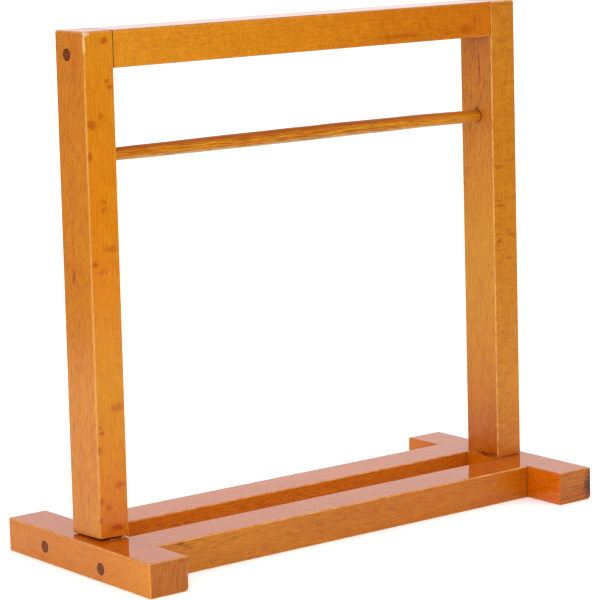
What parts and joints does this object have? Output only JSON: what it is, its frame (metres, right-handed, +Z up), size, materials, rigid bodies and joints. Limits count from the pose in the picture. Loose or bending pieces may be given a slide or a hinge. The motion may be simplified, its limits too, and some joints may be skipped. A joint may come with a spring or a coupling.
{
  "type": "table-top loom frame",
  "caption": "Free-standing wooden loom frame for a table: posts on sled feet, a slotted base, a top rail and a round cross bar that turns in its sockets.",
  "frame": {"origin": "middle of the base, on the surface the feet stand on", "axes": "+X to the right along the rail, +Y to the back, +Z up"},
  "size_m": [0.3, 0.129, 0.276],
  "materials": {
    "beech": "golden orange beech under glossy lacquer",
    "bar_wood": "streaky orange dowel, satin lacquer",
    "pin_wood": "dark brown end grain, lacquered"
  },
  "bodies": {
    "frame": {"left_foot": "beech", "right_foot": "beech", "front_stretcher": "beech", "rear_stretcher": "beech", "left_post": "beech", "right_post": "beech", "top_rail": "beech", "left_rail_pin": "pin_wood", "right_rail_pin": "pin_wood", "left_post_pin": "pin_wood", "right_post_pin": "pin_wood", "left_foot_front_pin": "pin_wood", "left_foot_rear_pin": "pin_wood", "right_foot_front_pin": "pin_wood", "right_foot_rear_pin": "pin_wood"},
    "bar": {"cross_bar": "bar_wood"}
  },
  "joints": [
    {"name": "bar_turn", "type": "hinge", "parent": "frame", "child": "bar", "pos_m": [0, 0, 0.2121], "axis": [1, 0, 0], "continuous": true}
  ]
}
